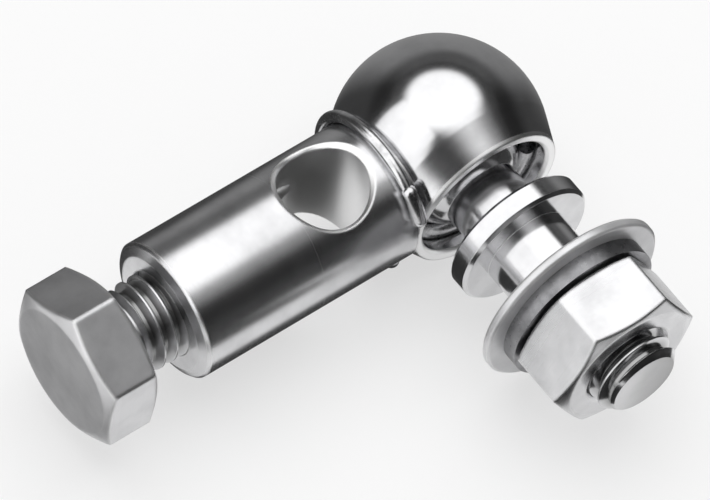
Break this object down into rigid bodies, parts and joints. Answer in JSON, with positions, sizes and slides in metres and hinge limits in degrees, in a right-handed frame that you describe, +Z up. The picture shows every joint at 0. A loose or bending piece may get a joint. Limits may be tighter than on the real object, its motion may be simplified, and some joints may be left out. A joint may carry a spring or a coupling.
{
  "type": "angle ball joint",
  "caption": "Angle ball joint: a round socket rod with a cross hole and clamp screw holds a ball stud at a right angle, with washers and a nut to fix a lever.",
  "frame": {"origin": "centre of the ball, where the shank's axis and the stud's axis meet", "axes": "lying on its side: the socket's shank runs along -X, the ball stud along -Y, +Z is up"},
  "size_m": [0.0497, 0.0383, 0.019],
  "materials": {
    "socket_steel": "turned steel, bright plated",
    "stud_steel": "turned steel, bright plated",
    "fastener_steel": "bright plated steel",
    "spring_steel": "drawn spring steel, plated"
  },
  "bodies": {
    "socket": {"socket": "socket_steel", "neck_clip": "spring_steel"},
    "ring": {"snap_ring": "spring_steel"},
    "stud": {"ball_stud": "stud_steel"},
    "washers": {"flat_washer": "fastener_steel", "spring_washer": "spring_steel"},
    "nut": {"nut": "fastener_steel"},
    "clamp_screw": {"clamp_screw": "fastener_steel"}
  },
  "joints": [
    {"name": "ring_turn", "type": "hinge", "parent": "socket", "child": "ring", "pos_m": [0, 0, 0], "axis": [0, -1, 0], "continuous": true},
    {"name": "stud_swing", "type": "hinge", "parent": "ring", "child": "stud", "pos_m": [0, 0, 0], "axis": [0, 0, 1], "range_deg": [-18, 18]},
    {"name": "washer_slide", "type": "slide", "parent": "stud", "child": "washers", "axis": [0, -1, 0], "range_m": [-0.002, 0.002]},
    {"name": "nut_turn", "type": "hinge", "parent": "washers", "child": "nut", "pos_m": [0, -0.01985, 0], "axis": [0, -1, 0], "range_deg": [-570, 570]},
    {"name": "clamp_slide", "type": "slide", "parent": "socket", "child": "clamp_screw", "axis": [-1, 0, 0], "range_m": [-0.0049, 0.008]}
  ],
  "couplings": [
    {"joint": "washer_slide", "follows": "nut_turn", "m_per_rad": 0.00019894}
  ]
}
